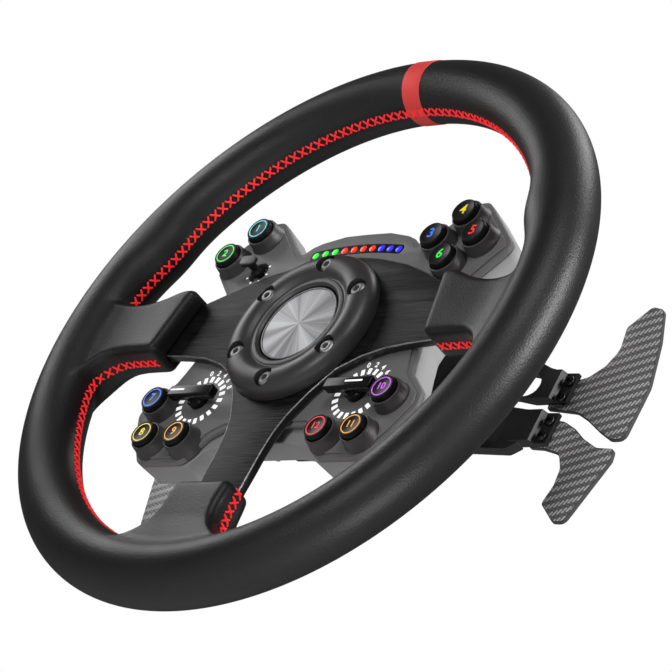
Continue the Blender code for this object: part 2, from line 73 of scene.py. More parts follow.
TUBE_R = box_mm("top_band")[1].y            # radius of the grip
RIM_R = box_mm("top_band")[1].z - TUBE_R    # radius of its centreline
PLATE_Y = [corner.y for corner in box_mm("frame_plate")]
PANEL_Y = (box_mm("led_window")[0].y, box_mm("front_panel")[1].y)
HOUSING_Y = [corner.y for corner in box_mm("rear_housing")]
BLADE_Y = [corner.y for corner in box_mm("shift_blade_right")]
REAR = box_mm("qr_hub")[1].y
BUTTONS = {n: middle_of(f"button_{n}") for n in range(1, 13)}
DIALS = {side: middle_of(f"dial_knob_{side}") for side in ("left", "right")}
MENU = middle_of("menu_lever")
BOLTS = {n: middle_of(f"cover_bolt_{n}") for n in range(1, 7)}
BOLT_HOLE, PLATE_HOLE, BLADE_HOLE = 2.8, 20, 1.7  # radii

# ---------------------------------------------------------------- outlines, half of each: x, z, corner
PLATE_HALF = [
    (0, 45.5, 0), (14, 44.8, 0), (28, 42.5, 0), (45.8, 38, 0), (58.4, 33, 0), (72, 26.8, 0),
    (84, 21.4, 0), (96, 15, 4), (142.6, 13, 0), (142.6, -8, 0), (104, -9, 4), (89.7, -11.1, 0),
    (74.7, -12.3, 9), (60.3, -14.4, 9), (47.7, -18.6, 9), (35.3, -25.7, 9), (25.4, -40, 20),
    (19.2, -52.2, 20), (16.4, -62.5, 20), (15.3, -74.2, 0), (15.2, -84.2, 0), (14.6, -100, 3),
    (11, -107, 3), (10, -142.6, 0),
]
TOP_ARCH = [(0, 65.5, 0), (15, 65.2, 8), (29, 62.0, 6), (34.5, 59.6, 2), (40, 54.8, 3)]
RIGHT_TOP_POD = [
    (44, 57.6, 3), (66.6, 79.4, 7), (72.5, 79.0, 5), (102.4, 50.2, 6), (86.5, 29.9, 4), (79, 25.5, 3),
]
LEFT_TOP_POD = [
    (44, 57.6, 3), (66.0, 79.0, 7), (73.0, 78.4, 7), (96.4, 54.0, 8), (94.5, 46.6, 5),
    (80.0, 32.6, 4), (78, 25.5, 3),
]
BOTTOM_POD = [
    (73.8, -6, 3), (77.3, -18.3, 6), (79.4, -24.4, 4), (92.6, -36.5, 6), (94.0, -44.5, 6),
    (85.6, -61, 6), (75.6, -74.2, 6), (45, -74.2, 8), (34.6, -58.6, 6), (27, -54.2, 3),
]
SHIFT_BLADE = [
    (97.5, 6.5, 2), (97.5, 22.6, 1), (105.7, 22.9, 2), (114.2, 25.1, 6), (121.6, 31.5, 8),
    (125.4, 41, 8), (123.0, 54.6, 3), (133.0, 66.8, 3), (141.0, 64.6, 5), (148.4, 44.8, 14),
    (155.0, 17.5, 14), (154.4, -13.4, 5), (146.4, -13.4, 5), (137.4, -8.3, 8), (126.2, -0.8, 8),
    (117.9, 3.6, 8), (103.7, 5.7, 4),
]
CLUTCH_BLADE = [
    (97.5, 0.3, 1), (103.5, 0.1, 2), (112.7, -1.3, 8), (121.4, -5.7, 8), (129.9, -12.1, 8),
    (140.2, -17.6, 6), (151.6, -18.6, 3), (152.9, -25.2, 3), (142.2, -60.6, 4), (135.4, -60.4, 4),
    (123.2, -49.6, 3), (125.4, -39.2, 6), (124.4, -29.6, 8), (119.2, -20.6, 8), (108.0, -17.4, 6),
    (97.5, -16.4, 3),
]

RED, GREEN, BLUE = (0.85, 0.02, 0.02), (0.03, 0.78, 0.05), (0.03, 0.17, 0.85)
YELLOW, AMBER = (0.80, 0.62, 0.03), (0.85, 0.36, 0.02)
CYAN, MAGENTA = (0.06, 0.62, 0.66), (0.55, 0.10, 0.75)
MARKS = {  # colour of each button's number, and whether a ring goes round it
    1: (CYAN, True), 2: (GREEN, True), 3: (BLUE, False), 4: (YELLOW, False), 5: (RED, False),
    6: (GREEN, False), 7: (BLUE, True), 8: (YELLOW, True), 9: (AMBER, True), 10: (MAGENTA, True),
    11: (AMBER, True), 12: (RED, True),
}


# ---------------------------------------------------------------- materials
class Finish:
    """A Principled material and the nodes that drive it, in millimetre coordinates."""

    def __init__(self, name, colour, roughness, metallic=0.0, **constants):
        self.material = bpy.data.materials.new(name)
        self.material.use_nodes = True
        self.tree = self.material.node_tree
        self.shader = self.tree.nodes["Principled BSDF"]
        self.shader.inputs["Base Color"].default_value = (*colour, 1)
        self.shader.inputs["Roughness"].default_value = roughness
        self.shader.inputs["Metallic"].default_value = metallic
        for socket, value in constants.items():
            self.shader.inputs[socket.replace("_", " ")].default_value = value
        coordinates = self.add("TexCoord").outputs["Object"]
        self.mm = self.math3("SCALE", coordinates, scale=1000)

    def add(self, kind, inputs=None, **settings):
        node = self.tree.nodes.new("ShaderNode" + kind)
        for setting, value in settings.items():
            setattr(node, setting, value)
        for socket, value in (inputs or {}).items():
            self.put(node.inputs[socket], value)
        return node

    def put(self, socket, value):
        if isinstance(value, bpy.types.NodeSocket):
            self.tree.links.new(value, socket)
        else:
            socket.default_value = value

    def math(self, operation, a, b=0.0):
        return self.add("Math", {0: a, 1: b}, operation=operation).outputs[0]

    def math3(self, operation, a, b=(0, 0, 0), scale=1.0):
        return self.add("VectorMath", {0: a, 1: b, 3: scale}, operation=operation).outputs[0]

    def noise(self, scale, detail=3.0, stretch=(1, 1, 1), roughness=0.5):
        vector = self.math3("MULTIPLY", self.mm, stretch)
        return self.add("TexNoise", {"Vector": vector, "Scale": scale, "Detail": detail,
                                     "Roughness": roughness}).outputs["Fac"]

    def between(self, value, low, high, start=0.0, end=1.0):
        """The value carried from low..high to start..end."""
        return self.add("MapRange", {0: value, 1: low, 2: high, 3: start, 4: end}).outputs[0]

    def blend(self, value, one, two):
        mix = self.add("Mix", {0: value}, data_type="RGBA")
        self.put(mix.inputs[6], (*one, 1))
        self.put(mix.inputs[7], (*two, 1))
        return mix.outputs[2]

    def colour(self, value):
        self.put(self.shader.inputs["Base Color"], value)

    def rough(self, value):
        self.put(self.shader.inputs["Roughness"], value)

    def bump(self, height, distance_mm):
        made = self.add("Bump", {"Height": height, "Distance": distance_mm * 0.001, "Strength": 1.0})
        self.put(self.shader.inputs["Normal"], made.outputs[0])

    def glow(self, shade, strength):
        self.colour(shade)
        self.put(self.shader.inputs["Emission Color"], shade)
        self.shader.inputs["Emission Strength"].default_value = strength


def leather(name, colour, roughness):
    """Fine-grained leather: small pebbles, faint creases and slightly polished patches."""
    f = Finish(name, colour, roughness, Specular_IOR_Level=0.4)
    pebbles = f.add("TexVoronoi", {"Vector": f.mm, "Scale": 1.15, "Smoothness": 0.7},
                    feature="SMOOTH_F1").outputs["Distance"]
    fine = f.noise(2.6, 4.0)
    creases = f.noise(0.34, 5.0)
    height = f.math("ADD", f.math("MULTIPLY", pebbles, 0.8), f.math("MULTIPLY", fine, 0.5))
    height = f.math("ADD", height, f.math("MULTIPLY", creases, 0.35))
    f.bump(height, 0.11)
    worn = f.noise(0.022, 3.0)
    f.rough(f.between(f.math("ADD", worn, f.math("MULTIPLY", fine, 0.3)), 0.4, 0.95,
                      roughness - 0.06, roughness + 0.08))
    lighter = tuple(min(1, c * 1.5 + 0.003) for c in colour)
    f.colour(f.blend(f.between(fine, 0.35, 0.7), colour, lighter))
    return f.material


def moulded(name, colour, roughness, grain, **constants):
    """Moulded plastic or painted metal: spark-eroded grain and faint handling marks."""
    f = Finish(name, colour, roughness, **constants)
    fine = f.noise(3.4, 3.0)
    broad = f.noise(0.05, 3.0)
    f.bump(fine, grain)
    f.rough(f.between(broad, 0.3, 0.7, roughness - 0.05, roughness + 0.05))
    lighter = tuple(min(1, c * 1.16 + 0.002) for c in colour)
    f.colour(f.blend(f.between(fine, 0.35, 0.7), colour, lighter))
    return f.material


def brushed(name, dark, light, roughness):
    """Metal brushed along x: long fine scratches of uneven depth."""
    f = Finish(name, dark, roughness, metallic=1.0, Anisotropic=0.55)
    long = f.noise(1.0, 4.0, stretch=(0.035, 0.5, 2.3), roughness=0.7)
    hair = f.noise(1.0, 2.0, stretch=(0.09, 1.0, 7.5))
    both = f.math("ADD", f.math("MULTIPLY", long, 0.65), f.math("MULTIPLY", hair, 0.35))
    f.colour(f.blend(f.between(both, 0.44, 0.58), dark, light))
    f.rough(f.between(both, 0.35, 0.65, roughness - 0.08, roughness + 0.12))
    f.bump(both, 0.10)
    return f.material


def turned(name, dark, light, roughness, sectors=2.4):
    """Metal brushed round the wheel's axis; the wedges of light that its fine circles throw are painted
    into its colour as painted highlights.
    """
    f = Finish(name, light, roughness, metallic=1.0, Anisotropic=0.7)
    f.put(f.shader.inputs["Tangent"], f.add("Tangent", direction_type="RADIAL", axis="Y").outputs[0])
    flat = f.math3("MULTIPLY", f.mm, (1, 0, 1))
    round_it = f.math3("NORMALIZE", flat)
    # painted highlights: lighter and darker wedges and rays round the axis, put into the colour
    painted_highlight_wedge = f.add("TexNoise", {"Vector": round_it, "Scale": sectors, "Detail": 1.5}).outputs["Fac"]
    painted_highlight_ray = f.add("TexNoise", {"Vector": round_it, "Scale": 16.0, "Detail": 3.0}).outputs["Fac"]
    both = f.math("ADD", f.math("MULTIPLY", painted_highlight_wedge, 0.75), f.math("MULTIPLY", painted_highlight_ray, 0.25))
    f.colour(f.blend(f.between(both, 0.34, 0.66), dark, light))
    reach = f.add("VectorMath", {0: flat}, operation="LENGTH").outputs["Value"]
    circles = f.add("TexNoise", {"Scale": 3.0, "Detail": 2.0, "W": reach}, noise_dimensions="1D")
    f.bump(circles.outputs["Fac"], 0.02)
    f.rough(f.between(circles.outputs["Fac"], 0.3, 0.7, roughness - 0.05, roughness + 0.06))
    return f.material


def twill(name, dark, light, tow, turn):
    """Carbon fibre in a two by two twill under clear resin, its tows drawn in the colour with a painted
    sheen: tow is its width in millimetres.
    """
    f = Finish(name, dark, 0.42, Coat_Weight=0.25, Coat_Roughness=0.25)
    spin = f.add("VectorRotate", {"Vector": f.mm, "Angle": math.radians(turn)},
                 rotation_type="Y_AXIS").outputs[0]
    parts = f.add("SeparateXYZ", {0: f.math3("SCALE", spin, scale=1 / tow)})
    u, v = parts.outputs["X"], parts.outputs["Z"]
    steps = f.math("SUBTRACT", f.math("FLOOR", u), f.math("FLOOR", v))
    phase = f.math("FLOORED_MODULO", steps, 4.0)
    warp = f.math("LESS_THAN", phase, 1.5)
    across_u = f.math("ABSOLUTE", f.math("SUBTRACT", f.math("FRACT", u), 0.5))
    across_v = f.math("ABSOLUTE", f.math("SUBTRACT", f.math("FRACT", v), 0.5))
    picked = f.add("Mix", {0: warp, 2: across_v, 3: across_u}, data_type="FLOAT").outputs[0]
    # painted sheen: each tow lighter at its crown and darker at its edges, and the warp tows lighter than
    # the weft; the twill layout itself is the weave
    crown = f.between(picked, 0.15, 0.5, 1.0, 0.0)
    weave_and_painted_sheen = f.math("MULTIPLY", f.math("ADD", f.math("MULTIPLY", warp, 0.8), 0.2), crown)
    fibre = f.noise(3.0, 2.0)
    weave_and_painted_sheen = f.math("MULTIPLY", weave_and_painted_sheen, f.between(fibre, 0.3, 0.7, 0.8, 1.15))
    f.colour(f.blend(weave_and_painted_sheen, dark, light))
    f.bump(crown, 0.10)
    return f.material


def lamp(name, colour, strength, roughness=0.35):
    """Coloured lacquer with a painted glow, and lens lamps that glow a little, both with a faint mottle.
    """
    f = Finish(name, colour, roughness)
    fine = f.noise(2.0, 2.0)
    darker = tuple(c * 0.82 for c in colour)
    # the glow is a lamp on the lenses and a painted glow on print
    f.glow(f.blend(f.between(fine, 0.35, 0.65), darker, colour), strength)
    return f.material


def thread(name, colour):
    """Twisted sewing thread, which glows a little so that it reads as bright."""
    f = Finish(name, colour, 0.55, Sheen_Weight=0.25)
    twist = f.noise(4.5, 2.0)
    f.bump(twist, 0.12)
    darker = tuple(c * 0.7 for c in colour)
    f.glow(f.blend(f.between(twist, 0.3, 0.6), darker, colour), 0.6)
    return f.material


BLACK_LEATHER = leather("black_leather", (0.0085, 0.0085, 0.009), 0.42)
RED_LEATHER = leather("red_leather", (1.0, 0.06, 0.055), 0.5)
THREAD = thread("red_thread", (0.88, 0.012, 0.016))
BRUSHED = brushed("brushed_dark_metal", (0.006, 0.006, 0.0065), (0.060, 0.060, 0.062), 0.42)
# the plate's chamfer: light metal colour that stands for a painted highlight
CHAMFER_PAINTED_HIGHLIGHT = brushed("chamfer_painted_highlight", (0.30, 0.30, 0.31), (0.55, 0.55, 0.56), 0.3)
# the turned metals below carry painted highlight wedges in their colour
SPUN = turned("spun_disc", (0.11, 0.11, 0.113), (0.44, 0.44, 0.45), 0.36)
RIM_METAL = turned("turned_edge", (0.10, 0.10, 0.105), (0.22, 0.22, 0.225), 0.3, 5.0)
STEEL = turned("pale_steel", (0.34, 0.34, 0.35), (0.56, 0.56, 0.57), 0.32, 4.0)
SCREW_STEEL = turned("screw_steel", (0.28, 0.28, 0.285), (0.46, 0.46, 0.465), 0.46, 4.0)
DARK_STEEL = turned("dark_steel", (0.02, 0.02, 0.021), (0.05, 0.05, 0.052), 0.32, 4.0)
COVER = moulded("satin_black_cover", (0.034, 0.034, 0.035), 0.40, 0.006, Specular_IOR_Level=0.7)
EDGE_BLACK = moulded("painted_edge", (0.010, 0.010, 0.011), 0.28, 0.01)
PANEL = moulded("grey_panel", (0.175, 0.175, 0.177), 0.5, 0.03)
COLLAR = moulded("grey_collar", (0.060, 0.058, 0.059), 0.42, 0.025)
HOUSING = moulded("pale_grey_housing", (0.30, 0.30, 0.303), 0.5, 0.03)
CAP = moulded("black_cap", (0.010, 0.010, 0.0105), 0.36, 0.004, Specular_IOR_Level=0.16)
KNOB = moulded("gloss_black_knob", (0.006, 0.005, 0.005), 0.2, 0.003, Specular_IOR_Level=0.2)
ARM = moulded("satin_black_arm", (0.014, 0.014, 0.015), 0.42, 0.015, Specular_IOR_Level=0.3)
GLASS = moulded("black_window", (0.006, 0.006, 0.006), 0.3, 0.002, Specular_IOR_Level=0.08)
PALE_CAP = moulded("grey_lever_cap", (0.10, 0.10, 0.103), 0.4, 0.01)
# white print for the dial marks, pointers and lever marks, with a painted glow
WHITE_INK_PAINTED_GLOW = lamp("white_ink_painted_glow", (0.92, 0.92, 0.92), 0.8, 0.5)
BOARD = moulded("circuit_board", (0.01, 0.11, 0.05), 0.4, 0.02)
HUB_BLACK = moulded("anodised_black", (0.018, 0.018, 0.020), 0.36, 0.01, Metallic=0.8)
# the light tone of the carbon is the tows' painted sheen
CARBON = twill("carbon_twill", (0.09, 0.09, 0.092), (0.85, 0.85, 0.86), 1.8, -28.0)
CARBON_EDGE = moulded("carbon_edge", (0.05, 0.05, 0.052), 0.5, 0.02, Specular_IOR_Level=0.15)


# ---------------------------------------------------------------- making pieces
CAPITAL = 0.72  # height of a figure as a share of its font's size


def linked(name, data):
    obj = bpy.data.objects.new(name, data)
    bpy.context.scene.collection.objects.link(obj)
    return obj


def evaluated_mesh(obj):
    graph = bpy.context.evaluated_depsgraph_get()
    return bpy.data.meshes.new_from_object(obj.evaluated_get(graph))


def mesh_of(curve):
    holder = linked(curve.name, curve)
    mesh = evaluated_mesh(holder)
    bpy.data.objects.remove(holder)
    return mesh


def finish(name, mesh, materials, body, stands_for=(), sharp=32):
    """A piece from a mesh in millimetres, riding on a body and standing for model nodes."""
    points = np.empty(len(mesh.vertices) * 3)
    mesh.vertices.foreach_get("co", points)
    mesh.vertices.foreach_set("co", in_frame(points.reshape(-1, 3)).ravel())
    mesh.update()
    mesh.shade_smooth()
    mesh.set_sharp_from_angle(angle=math.radians(sharp))
    for each in materials if isinstance(materials, list) else [materials]:
        mesh.materials.append(each)
    obj = linked(name, mesh)
    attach(obj, body)
    if stands_for:
        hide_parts(*stands_for)
    return obj


def mesh_from(name, points, faces):
    mesh = bpy.data.meshes.new(name)
    mesh.from_pydata([tuple(p) for p in points], [], [tuple(f) for f in faces])
    mesh.validate()
    return mesh


def skin(rows, count, closed=False):
    """Faces over rings of points: capped at both ends, or with the last ring joined to the first."""
    faces = []
    for k in range(rows if closed else rows - 1):
        m = (k + 1) % rows
        for i in range(count):
            j = (i + 1) % count
            faces.append((k * count + i, k * count + j, m * count + j, m * count + i))
    if not closed:
        faces.append(tuple(range(count))[::-1])
        faces.append(tuple(range((rows - 1) * count, rows * count)))
    return faces


def merged(*meshes):
    """Meshes put together as one, keeping each one's material numbers."""
    body = bmesh.new()
    for mesh in meshes:
        body.from_mesh(mesh)
        bpy.data.meshes.remove(mesh)
    mesh = bpy.data.meshes.new("merged")
    body.to_mesh(mesh)
    body.free()
    return mesh


def numbered(mesh, index):
    for polygon in mesh.polygons:
        polygon.material_index = index
    return mesh


def turn_profile(profile, at=(0, 0), count=64, wave=None):
    """Turns (radius, y) points about a line along y. wave(turn, radius, y) may change a radius."""
    points, rings = [], []
    for radius, y in profile:
        ring = []
        for i in range(1 if radius == 0 else count):
            turn = 2 * math.pi * i / count
            r = wave(turn, radius, y) if wave else radius
            ring.append(len(points))
            points.append((at[0] + r * math.cos(turn), y, at[1] + r * math.sin(turn)))
        rings.append(ring)
    faces = []
    for one, two in zip(rings, rings[1:] + rings[:1]):
        if len(one) == 1 and len(two) == 1:
            continue
        for i in range(count):
            j = (i + 1) % count
            face = (one[i % len(one)], one[j % len(one)], two[j % len(two)], two[i % len(two)])
            faces.append(list(dict.fromkeys(face)))  # at the axis two of them are one point
    return outward(mesh_from("turned", points, faces))


def outward(mesh, weld=0.0):
    """The mesh with its faces turned outwards and points closer than weld made one."""
    body = bmesh.new()
    body.from_mesh(mesh)
    if weld:
        bmesh.ops.remove_doubles(body, verts=body.verts, dist=weld)
    bmesh.ops.recalc_face_normals(body, faces=body.faces)
    body.to_mesh(mesh)
    body.free()
    return mesh


def soft_profile(corners, steps=4):
    """(radius, y, rounding) corners of a turned shape as points, with its corners rounded."""
    points = []
    for i, (r, y, rounding) in enumerate(corners):
        here = Vector((r, y))
        if rounding == 0:
            points.append((r, y))
            continue
        a = Vector(corners[i - 1][:2]) - here
        b = Vector(corners[(i + 1) % len(corners)][:2]) - here
        reach = min(rounding, a.length * 0.49, b.length * 0.49)
        start, end = here + a.normalized() * reach, here + b.normalized() * reach
        for k in range(steps + 1):
            t = k / steps
            points.append(tuple(start * (1 - t) ** 2 + here * 2 * t * (1 - t) + end * t ** 2))
    return points


def rounded(points, steps=8):
    """Turns x, z, corner radius triples into an outline."""
    outline = []
    for i, (x, z, radius) in enumerate(points):
        here = Vector((x, z))
        before = Vector(points[i - 1][:2]) - here
        after = Vector(points[(i + 1) % len(points)][:2]) - here
        half = before.angle(after) / 2
        if radius == 0 or math.pi / 2 - half < 0.02:
            outline.append((x, z))
            continue
        reach = min(radius / math.tan(half), before.length * 0.49, after.length * 0.49)
        radius = reach * math.tan(half)
        a, b = before.normalized(), after.normalized()
        centre = here + (a + b).normalized() * (radius / math.sin(half))
        start, end = here + a * reach - centre, here + b * reach - centre
        sweep = start.angle_signed(end)
        count = max(1, min(steps, round(abs(sweep) / 0.13)))
        for k in range(count + 1):
            turned_by = start.copy()
            turned_by.rotate(Matrix.Rotation(-sweep * k / count, 2))
            outline.append(tuple(centre + turned_by))
    return outline


def mirrored(points):
    return [(-p[0], *p[1:]) for p in reversed(points)]


def inset(corners, depth):
    """Corners (x, z, radius) moved inwards by a depth, or outwards if it is negative."""
    flat = [Vector(corner[:2]) for corner in corners]
    area = sum(a.x * b.y - b.x * a.y for a, b in zip(flat, flat[1:] + flat[:1]))
    side = 1 if area > 0 else -1
    moved = []
    for i, here in enumerate(flat):
        a = (here - flat[i - 1]).normalized()
        b = (flat[(i + 1) % len(flat)] - here).normalized()
        na, nb = Vector((-a.y, a.x)) * side, Vector((-b.y, b.x)) * side
        both = (na + nb).normalized()
        spot = here + both * depth / max(0.5, both.dot(na))
        radius = corners[i][2]
        if radius:
            convex = (a.x * b.y - a.y * b.x) * side > 0
            radius = max(0.4, radius - depth) if convex else radius + depth
        moved.append((spot.x, spot.y, radius))
    return moved


def circle(radius, at=(0, 0), count=48):
    turns = [2 * math.pi * i / count for i in range(count)]
    return [(at[0] + radius * math.cos(t), at[1] + radius * math.sin(t)) for t in turns]


def flat_shape(outlines, front, back, bevel, steps=2):
    """Outlines in x, z, filled with later ones as holes, made solid from front to back."""
    curve = bpy.data.curves.new("flat", "CURVE")
    curve.dimensions, curve.fill_mode = "2D", "BOTH"
    curve.extrude = (back - front) / 2 - bevel
    curve.bevel_depth, curve.bevel_resolution, curve.offset = bevel, steps, -bevel
    for outline in outlines:
        spline = curve.splines.new("POLY")
        spline.points.add(len(outline) - 1)
        for point, (x, z) in zip(spline.points, outline):
            point.co = (x, z, 0, 1)
        spline.use_cyclic_u = True
    mesh = mesh_of(curve)
    middle = (front + back) / 2
    for vertex in mesh.vertices:
        x, z, towards = vertex.co
        vertex.co = (x, middle - towards, z)
    return outward(mesh, weld=0.001)


def bar(at, half_x, half_z, corner, front, back, bevel):
    """A flat bar with rounded corners, centred at x, z."""
    x, z = at
    shape = [(x - half_x, z - half_z, corner), (x + half_x, z - half_z, corner),
             (x + half_x, z + half_z, corner), (x - half_x, z + half_z, corner)]
    return flat_shape([rounded(shape)], front, back, bevel)


def writing(text, at, height, y, proud, bold, turn=0.0):
    """Plain figures standing a little proud of a face that looks towards the driver."""
    curve = bpy.data.curves.new("figures", "FONT")
    curve.body, curve.align_x, curve.align_y = text, "CENTER", "CENTER"
    curve.size, curve.extrude, curve.offset, curve.resolution_u = height / CAPITAL, proud, bold, 4
    mesh = mesh_of(curve)
    mesh.transform(Matrix.Translation((at[0], y, at[1])) @ Matrix.Rotation(turn, 4, "Y")
                   @ Matrix.Rotation(math.pi / 2, 4, "X"))
    return mesh


def cut_away(mesh, *cutters):
    """The mesh less the cutters."""
    objects = [linked("cut", each) for each in (mesh, merged(*cutters))]
    modifier = objects[0].modifiers.new("cut", "BOOLEAN")
    modifier.object, modifier.solver = objects[1], "EXACT"
    result = evaluated_mesh(objects[0])
    for obj in objects:
        bpy.data.objects.remove(obj)
    return result


def softened(obj, width_mm):
    """Rounds off the object's sharper edges."""
    modifier = obj.modifiers.new("soft_edges", "BEVEL")
    modifier.width, modifier.segments = width_mm * 0.001, 2
    modifier.limit_method, modifier.angle_limit = "ANGLE", math.radians(40)
    modifier.harden_normals = True


# ---------------------------------------------------------------- the leather's shape
BULGE, BULGE_AT, BULGE_WIDTH = 4.4, 67.0, 7.2  # thumb rests: height, and place and width in degrees
SLEEVE_CORNER, SLEEVE_BLEND = 3.8, 3.0         # rounding of a sleeve's edges, and where it joins the grip
SIDE_MOUTH, BOTTOM_MOUTH, SLEEVE_END = 83.4, 97.2, 146
PLATE_GAP = 0.3                                # between the plate and the pocket it sits in
SIDE = {  # sleeve over a side spoke: half section at each x
    "along": (84.0, 90, 103, 112, 120, 126, 131, 136, 141, 146),
    "low": (-13.6, -14.4, -14.6, -14.8, -16.4, -20.5, -28.0, -37.0, -44.0, -45.0),
    "high": (24.5, 24.3, 19.6, 17.2, 16.3, 16.2, 16.4, 16.8, 17.2, 17.0),
    "front": (-5.8, -6.2, -6.3, -6.4, -6.8, -7.6, -8.8, -10.0, -10.4, -8.5),
    "back": (14.2, 14.4, 14.5, 14.6, 14.8, 15.0, 14.8, 14.0, 12.0, 9.5),
}
BOTTOM = {  # sleeve over the bottom spoke: half section at each depth below the hub
    "along": (97.0, 104, 114, 121, 127, 132, 137, 141.5, 146),
    "half": (17.9, 18.2, 18.8, 21.0, 26.0, 33.5, 41.5, 46.5, 46.0),
    "front": (-6.4, -7.2, -7.8, -8.2, -9.0, -9.8, -10.4, -10.2, -8.5),
    "back": (11.0, 11.6, 12.2, 13.0, 14.0, 14.4, 13.6, 11.6, 9.5),
}


def eased(table, key, along):
    """A column of a section table, read smoothly at any place along the spoke."""
    xs, ys = np.array(table["along"], float), np.array(table[key], float)
    slopes = np.gradient(ys, xs)
    at = np.clip(along, xs[0], xs[-1])
    i = np.clip(np.searchsorted(xs, at) - 1, 0, len(xs) - 2)
    gap = xs[i + 1] - xs[i]
    t = (at - xs[i]) / gap
    return ((2 * t ** 3 - 3 * t ** 2 + 1) * ys[i] + (t ** 3 - 2 * t ** 2 + t) * gap * slopes[i]
            + (3 * t ** 2 - 2 * t ** 3) * ys[i + 1] + (t ** 3 - t ** 2) * gap * slopes[i + 1])


def smooth_union(a, b, reach):
    """Two distances joined as one, with a soft valley where they meet."""
    overlap = np.maximum(reach - np.abs(a - b), 0) / reach
    return np.minimum(a, b) - overlap ** 2 * reach / 4


def block(*sides):
    """Distance to a block with rounded corners, from the distances past each of its sides."""
    past = [side + SLEEVE_CORNER for side in sides]
    outside = np.sqrt(sum(np.maximum(p, 0) ** 2 for p in past))
    inside = np.minimum(np.maximum.reduce(past), 0)
    return outside + inside - SLEEVE_CORNER


def leather_distance(x, y, z):
    """Distance from the surface of the grip, negative inside it."""
    out = np.hypot(x, z)
    across = out - RIM_R
    reach = np.hypot(across, y)
    clock = np.degrees(np.arctan2(np.abs(x), z))
    inner = np.maximum(-across, 0) / np.maximum(reach, 1e-6)
    bulge = BULGE * np.exp(-((clock - BULGE_AT) / BULGE_WIDTH) ** 2) * inner ** 2
    tube = reach - TUBE_R - bulge

    side = np.abs(x)
    low, high, front, back = (eased(SIDE, key, side) for key in ("low", "high", "front", "back"))
    mouth = SIDE_MOUTH + np.where(side < 112, 0.2, 0.0) * np.clip(23.6 - z, 0, 60)  # slants
    ends = np.maximum(mouth - side, side - SLEEVE_END)
    sleeve = block(np.maximum(low - z, z - high), np.maximum(front - y, y - back), ends)
    whole = smooth_union(tube, sleeve, SLEEVE_BLEND)

    depth = -z
    half, front, back = (eased(BOTTOM, key, depth) for key in ("half", "front", "back"))
    ends = np.maximum(BOTTOM_MOUTH - depth, depth - SLEEVE_END)
    lower = block(side - half, np.maximum(front - y, y - back), ends)
    whole = smooth_union(whole, lower, SLEEVE_BLEND)

    # pockets for the plate's spokes, whose edges follow its outline
    through = np.maximum(PLATE_Y[0] - PLATE_GAP - y, y - PLATE_Y[1] - PLATE_GAP)
    top = np.interp(side, (84, 96, 142), (21.4, 15, 13)) + PLATE_GAP
    bottom = np.interp(side, (75, 90, 104, 142), (-12.3, -11.1, -9, -8)) - PLATE_GAP
    pocket = np.maximum.reduce([through, bottom - z, z - top, 76 - side, side - 112])
    low_half = np.interp(depth, (84, 100, 107, 142), (15.2, 14.6, 11, 10)) + PLATE_GAP
    low_pocket = np.maximum.reduce([through, side - low_half, 88 - depth, depth - 116])
    return np.maximum.reduce([whole, -pocket, -low_pocket])


def slope_of(distance, points, reach=0.15):
    """The direction in which the distance grows, at each point."""
    steps = np.eye(3) * reach
    slope = np.stack([distance(*(points + s).T) - distance(*(points - s).T) for s in steps], 1)
    return slope / np.maximum(np.linalg.norm(slope, axis=1, keepdims=True), 1e-9)


def onto(distance, points, rounds):
    """Points moved straight onto the surface."""
    for _ in range(rounds):
        points = points - slope_of(distance, points) * distance(*points.T)[:, None]
    return points


def surface_mesh(distance, low, high, step):
    """A mesh of quads over the surface where the distance is zero, by surface nets."""
    axes = [np.arange(a, b, step) for a, b in zip(low, high)]
    value = distance(*np.meshgrid(*axes, indexing="ij"))
    inside = value < 0
    corners = [(i, j, k) for i in (0, 1) for j in (0, 1) for k in (0, 1)]
    size = [n - 1 for n in value.shape]
    count = sum(inside[i:i + size[0], j:j + size[1], k:k + size[2]].astype(np.int8)
                for i, j, k in corners)
    cells = np.argwhere((count > 0) & (count < 8))
    index = np.full(size, -1)
    index[tuple(cells.T)] = np.arange(len(cells))
    total, hits = np.zeros((len(cells), 3)), np.zeros((len(cells), 1))
    for corner in corners:
        for axis in range(3):
            if corner[axis]:
                continue
            unit = np.eye(3, dtype=int)[axis]
            start = cells + corner
            a, b = value[tuple(start.T)], value[tuple((start + unit).T)]
            crossed = (a < 0) != (b < 0)
            share = np.where(crossed, a / np.where(crossed, a - b, 1), 0)
            total += np.where(crossed[:, None], start + share[:, None] * unit, 0)
            hits += crossed[:, None]
    points = total / hits * step + np.array(low)
    quads = []
    for axis in range(3):
        b, c = [i for i in range(3) if i != axis]
        ends = np.moveaxis(inside, axis, 0)
        changed = ends[:-1, 1:-1, 1:-1] != ends[1:, 1:-1, 1:-1]
        found = np.argwhere(changed)
        where = np.empty_like(found)
        where[:, axis], where[:, b], where[:, c] = found[:, 0], found[:, 1] + 1, found[:, 2] + 1
        ring = []
        for db, dc in ((0, 0), (-1, 0), (-1, -1), (0, -1)):
            cell = where.copy()
            cell[:, b] += db
            cell[:, c] += dc
            ring.append(index[tuple(cell.T)])
        quads.append(np.stack(ring, 1))
    quads = np.concatenate(quads)
    for _ in range(2):
        points = relaxed(points, quads)
        points = onto(distance, points, 2)
    return points, quads


def relaxed(points, quads):
    """Points moved half way to the mean of their neighbours."""
    total, hits = np.zeros_like(points), np.zeros(len(points))
    for k in range(4):
        a, b = quads[:, k], quads[:, (k + 1) % 4]
        for one, two in ((a, b), (b, a)):
            hits += np.bincount(one, minlength=len(points))
            for axis in range(3):
                total[:, axis] += np.bincount(one, points[two, axis], minlength=len(points))
    return (points + total / np.maximum(hits, 1)[:, None]) / 2


def rim_point(clock, out, y):
    """A point this far from the rim's axis, at a clock angle in degrees."""
    turn = math.radians(clock)
    return (out * math.sin(turn), y, out * math.cos(turn))


